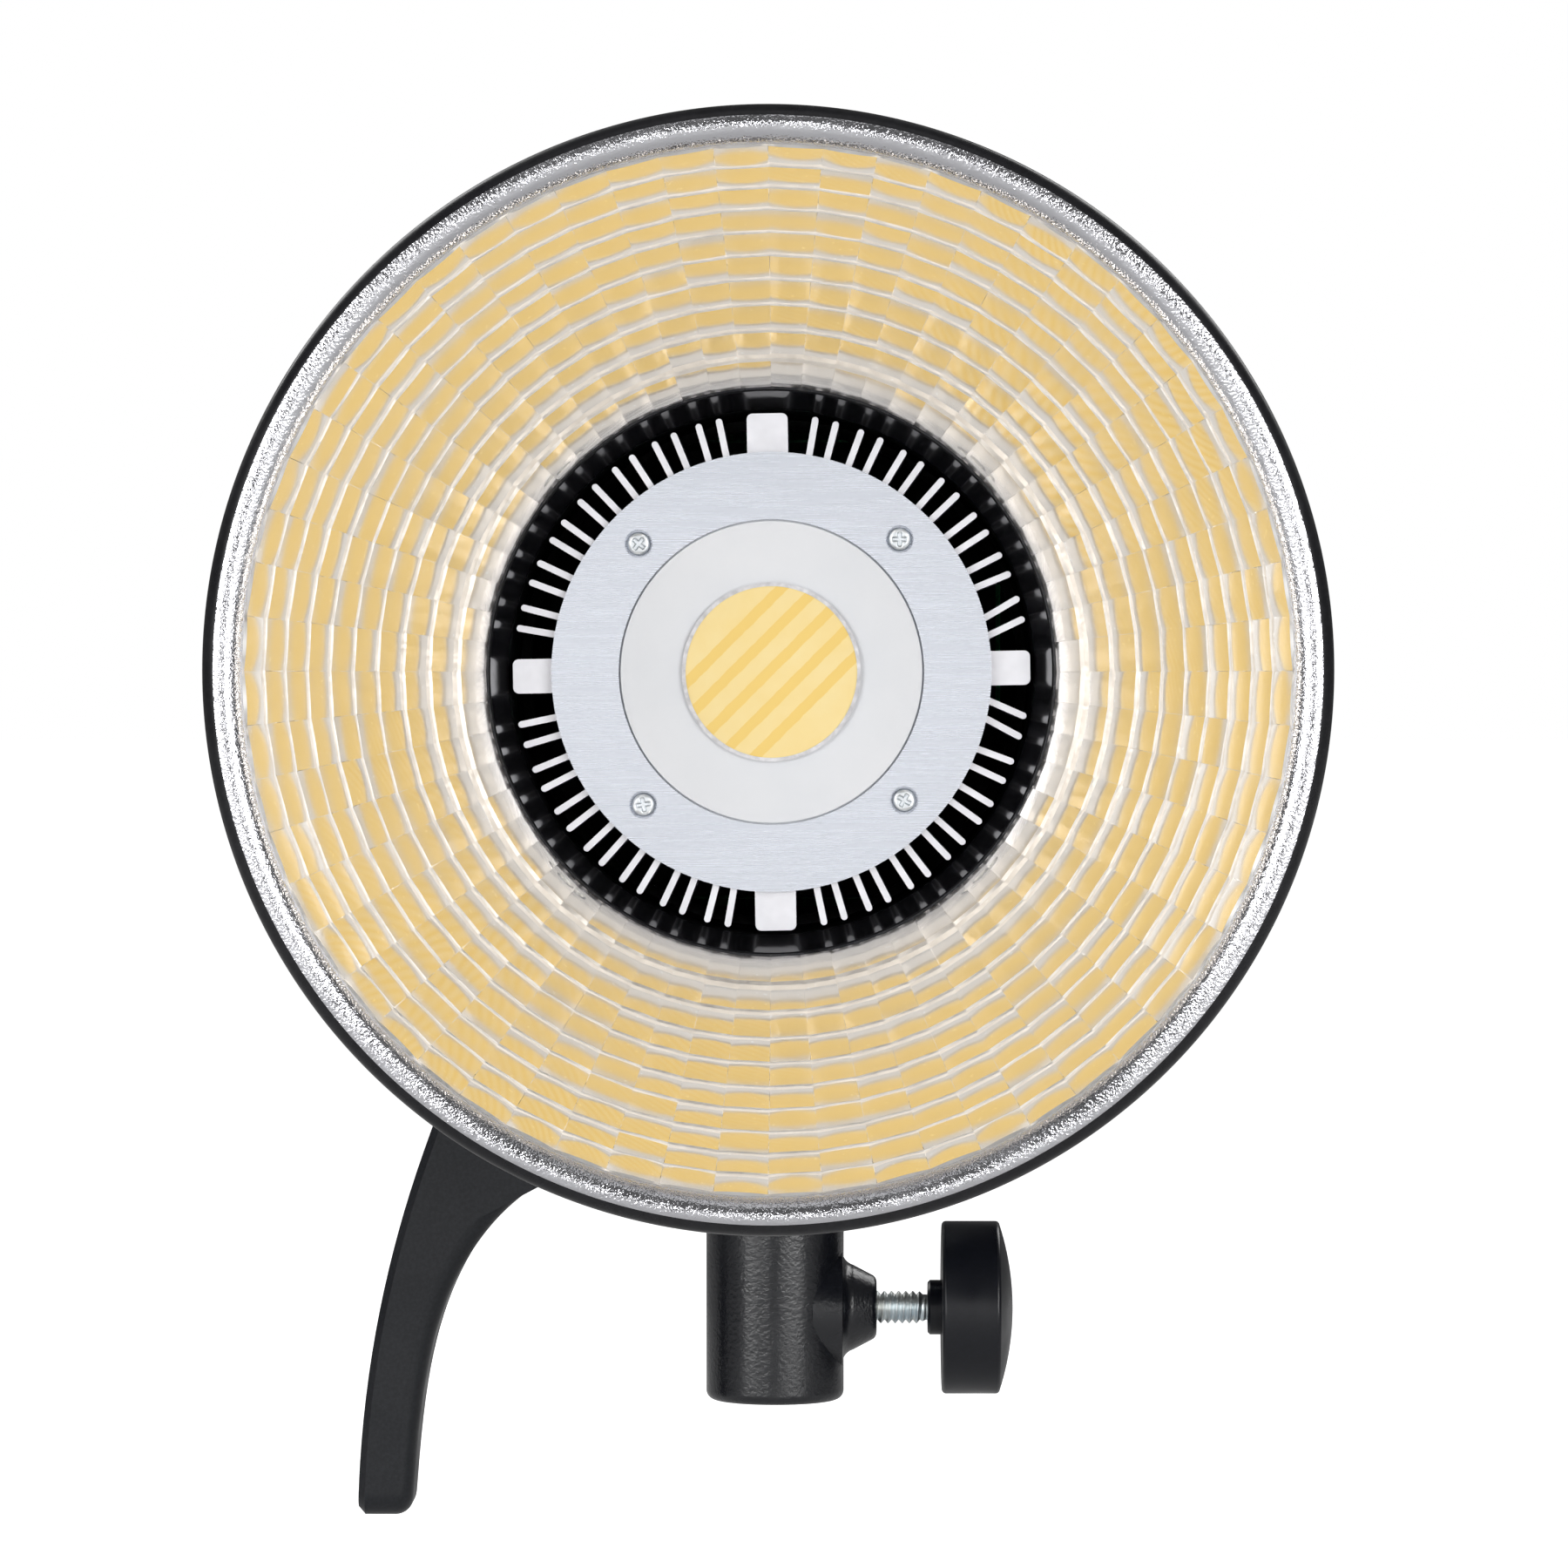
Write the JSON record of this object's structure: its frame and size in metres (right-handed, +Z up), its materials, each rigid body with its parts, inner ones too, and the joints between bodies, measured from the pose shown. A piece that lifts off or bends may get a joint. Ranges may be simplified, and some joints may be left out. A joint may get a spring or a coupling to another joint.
{
  "type": "studio spotlight",
  "caption": "Round LED studio light head with a faceted bowl reflector on a twist mount, tilt handle, and clamped socket for a light stand.",
  "frame": {"origin": "centre of the stand socket's mouth", "axes": "+Z up along the stand socket; the light shines along -Y; the tilt handle is on the -X side and the clamp knob on the +X side"},
  "size_m": [0.21, 0.2845, 0.2832],
  "materials": {
    "black_cast": "fine-textured black powder coat",
    "black_moulded": "satin black moulded plastic",
    "black_knob": "matt black moulded plastic",
    "zinc_steel": "zinc-plated steel",
    "reflector_silver": "bright anodised faceted inside, satin black painted outside",
    "ring_black": "black anodised",
    "rivet": "bare aluminium",
    "gloss_black": "gloss black",
    "bare_aluminium": "extruded, bare",
    "plate_silver": "brushed and clear anodised",
    "white_ceramic": "white solder-mask",
    "phosphor": "silicone filled with yellow phosphor",
    "dam_grey": "grey silicone dam",
    "pad_grey": "thermal pad",
    "casing_black": "satin black coated aluminium",
    "board_green": "solder-masked circuit board",
    "ferrite": "ferrite and tape-wound copper",
    "capacitor_blue": "sleeved electrolytic capacitor",
    "brass": "brass",
    "window": "dark clear display window",
    "display": "liquid crystal display",
    "fibre": "fibre friction washer",
    "button_grey": "soft grey button",
    "rocker": "gloss black rocker"
  },
  "bodies": {
    "bracket": {"bracket": "black_cast", "friction_washers": "fibre", "pivot_bolt": "zinc_steel"},
    "handle": {"tilt_handle": "black_moulded", "handle_insert": "zinc_steel"},
    "clamp_screw": {"clamp_screw": "zinc_steel"},
    "clamp_knob": {"clamp_knob": "black_knob", "knob_insert": "black_knob"},
    "reflector": {"reflector_bowl": "reflector_silver", "bayonet_collar": "ring_black", "collar_rivets": "rivet"},
    "release": {"release_slider": "black_moulded"},
    "fan": {"fan_rotor": "black_moulded"},
    "dial": {"dial_knob": "black_knob", "dial_shaft": "zinc_steel"},
    "mode_button": {"mode_button": "button_grey"},
    "menu_button": {"menu_button": "button_grey"},
    "fan_button": {"fan_button": "button_grey"},
    "rocker": {"switch_rocker": "rocker"},
    "head": {"mount_ring": "ring_black", "mount_ring_screws": "zinc_steel", "front_frame": "black_moulded", "front_frame_screws": "zinc_steel", "release_spring": "zinc_steel", "throat_shroud": "gloss_black", "air_duct": "black_moulded", "heatsink": "bare_aluminium", "thermal_pad": "pad_grey", "cob_board": "white_ceramic", "cob_phosphor": "phosphor", "phosphor_dam": "dam_grey", "cover_plate": "plate_silver", "cover_plate_screws": "zinc_steel", "fan_frame": "black_moulded", "fan_screws": "zinc_steel", "upper_shell": "casing_black", "lower_shell": "casing_black", "tilt_foot": "black_cast", "foot_screws": "zinc_steel", "power_board": "board_green", "board_standoffs": "brass", "transformer": "ferrite", "capacitors": "capacitor_blue", "mains_choke": "ferrite", "driver_board": "board_green", "driver_inductors": "ferrite", "rear_panel": "black_moulded", "rear_panel_screws": "zinc_steel", "display_window": "window", "display_module": "display", "control_board": "board_green", "dial_encoder": "zinc_steel", "power_inlet": "black_moulded", "inlet_pins": "brass", "inlet_screws": "zinc_steel", "switch_frame": "black_moulded"}
  },
  "joints": [
    {"name": "head_tilt", "type": "hinge", "parent": "bracket", "child": "head", "pos_m": [0, 0, 0.062], "axis": [1, 0, 0], "range_deg": [-75, 75]},
    {"name": "handle_turn", "type": "hinge", "parent": "bracket", "child": "handle", "pos_m": [-0.045, 0, 0.062], "axis": [1, 0, 0], "range_deg": [-90, 0]},
    {"name": "clamp_travel", "type": "slide", "parent": "bracket", "child": "clamp_screw", "axis": [1, 0, 0], "range_m": [-0.0101, 0.0001]},
    {"name": "clamp_turn", "type": "hinge", "parent": "clamp_screw", "child": "clamp_knob", "pos_m": [0.04, 0, 0.0195], "axis": [1, 0, 0], "range_deg": [-2400, 0]},
    {"name": "reflector_twist", "type": "hinge", "parent": "head", "child": "reflector", "pos_m": [0, -0.104, 0.1542], "axis": [0, -1, 0], "range_deg": [0, 18]},
    {"name": "release_slide", "type": "slide", "parent": "head", "child": "release", "axis": [0, 1, 0], "range_m": [0, 0.0045], "stiffness_N_per_m": 500, "springref_m": -0.004, "deforming": ["release_spring"]},
    {"name": "fan_spin", "type": "hinge", "parent": "head", "child": "fan", "pos_m": [0, -0.018, 0.1542], "axis": [0, -1, 0], "continuous": true},
    {"name": "dial_turn", "type": "hinge", "parent": "head", "child": "dial", "pos_m": [-0.031, 0.1, 0.1472], "axis": [0, 1, 0], "continuous": true},
    {"name": "mode_button_press", "type": "slide", "parent": "head", "child": "mode_button", "axis": [0, -1, 0], "range_m": [0, 0.001], "stiffness_N_per_m": 600, "springref_m": -0.001},
    {"name": "menu_button_press", "type": "slide", "parent": "head", "child": "menu_button", "axis": [0, -1, 0], "range_m": [0, 0.001], "stiffness_N_per_m": 600, "springref_m": -0.001},
    {"name": "fan_button_press", "type": "slide", "parent": "head", "child": "fan_button", "axis": [0, -1, 0], "range_m": [0, 0.001], "stiffness_N_per_m": 600, "springref_m": -0.001},
    {"name": "power_switch", "type": "hinge", "parent": "head", "child": "rocker", "pos_m": [-0.031, 0.091, 0.1172], "axis": [0, 0, -1], "range_deg": [0, 20]}
  ],
  "couplings": [
    {"joint": "clamp_travel", "follows": "clamp_turn", "m_per_rad": 0.00023873}
  ]
}
